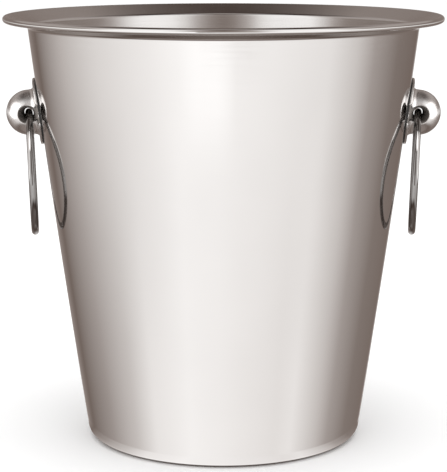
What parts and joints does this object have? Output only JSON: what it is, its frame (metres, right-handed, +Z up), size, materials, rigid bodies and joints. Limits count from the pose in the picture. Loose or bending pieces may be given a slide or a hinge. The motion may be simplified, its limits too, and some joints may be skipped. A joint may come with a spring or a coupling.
{
  "type": "champagne bucket",
  "caption": "Tapered round steel bucket for chilling a champagne bottle, with a flared rolled rim and a swinging ring in a ball knob on each side.",
  "frame": {"origin": "centre of the base, on the surface that the bucket stands on", "axes": "+Z up out of the mouth, X through the two knobs, -Y is the front"},
  "size_m": [0.215, 0.215, 0.2098],
  "materials": {
    "shell_steel": "stainless sheet, mirror polished outside, fine spun satin inside",
    "knob_steel": "cast steel, mirror polished",
    "ring_steel": "round rod, mirror polished",
    "seal_rubber": "matt black",
    "plate_steel": "stamped, brushed",
    "screw_steel": "stainless, as machined"
  },
  "bodies": {
    "bucket": {"bucket_shell": "shell_steel", "left_knob": "knob_steel", "right_knob": "knob_steel", "left_seal": "seal_rubber", "right_seal": "seal_rubber", "left_backing_plate": "plate_steel", "right_backing_plate": "plate_steel", "left_upper_screw": "screw_steel", "left_lower_screw": "screw_steel", "right_upper_screw": "screw_steel", "right_lower_screw": "screw_steel"},
    "left_handle": {"left_ring": "ring_steel"},
    "right_handle": {"right_ring": "ring_steel"}
  },
  "joints": [
    {"name": "left_ring_swing", "type": "hinge", "parent": "bucket", "child": "left_handle", "pos_m": [-0.09603, 0, 0.1617], "axis": [0, 1, 0], "range_deg": [-8, 165]},
    {"name": "right_ring_swing", "type": "hinge", "parent": "bucket", "child": "right_handle", "pos_m": [0.09603, 0, 0.1617], "axis": [0, -1, 0], "range_deg": [-8, 165]}
  ]
}
